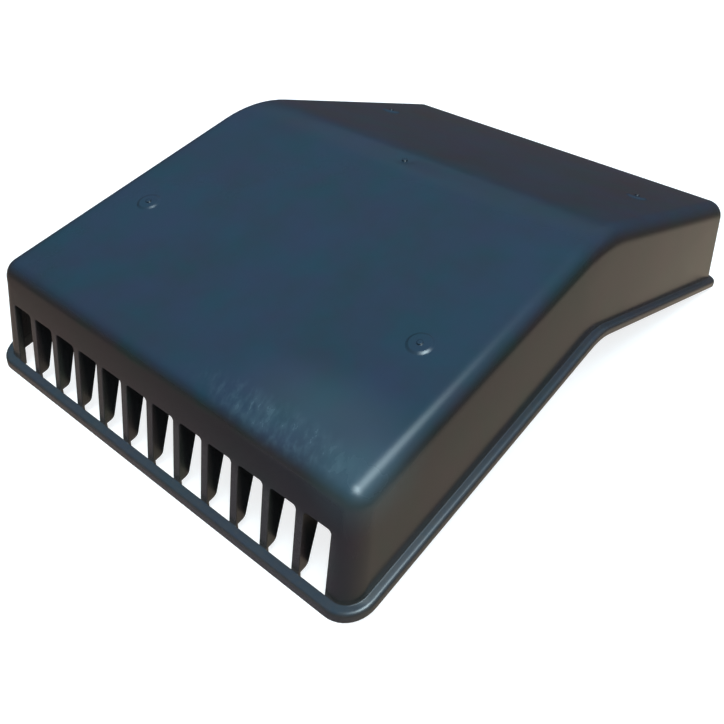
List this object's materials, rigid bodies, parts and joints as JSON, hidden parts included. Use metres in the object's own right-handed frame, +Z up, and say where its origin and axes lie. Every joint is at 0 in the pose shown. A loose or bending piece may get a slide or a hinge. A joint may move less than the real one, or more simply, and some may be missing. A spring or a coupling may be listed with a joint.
{
  "type": "ridge vent cowl",
  "caption": "Shallow moulded hood that sits astride a roof ridge, open underneath, with a slotted grille in each end wall and a narrow lip all round.",
  "frame": {"origin": "under the middle of the cowl, level with the two lower edges of the lip that it stands on", "axes": "+X along the roof ridge, +Y across it towards the rear eave, +Z up"},
  "size_m": [0.2, 0.28, 0.0789],
  "materials": {
    "moulding": "satin gloss, dark slate blue"
  },
  "bodies": {
    "root": {"cowl": "moulding"}
  },
  "joints": []
}
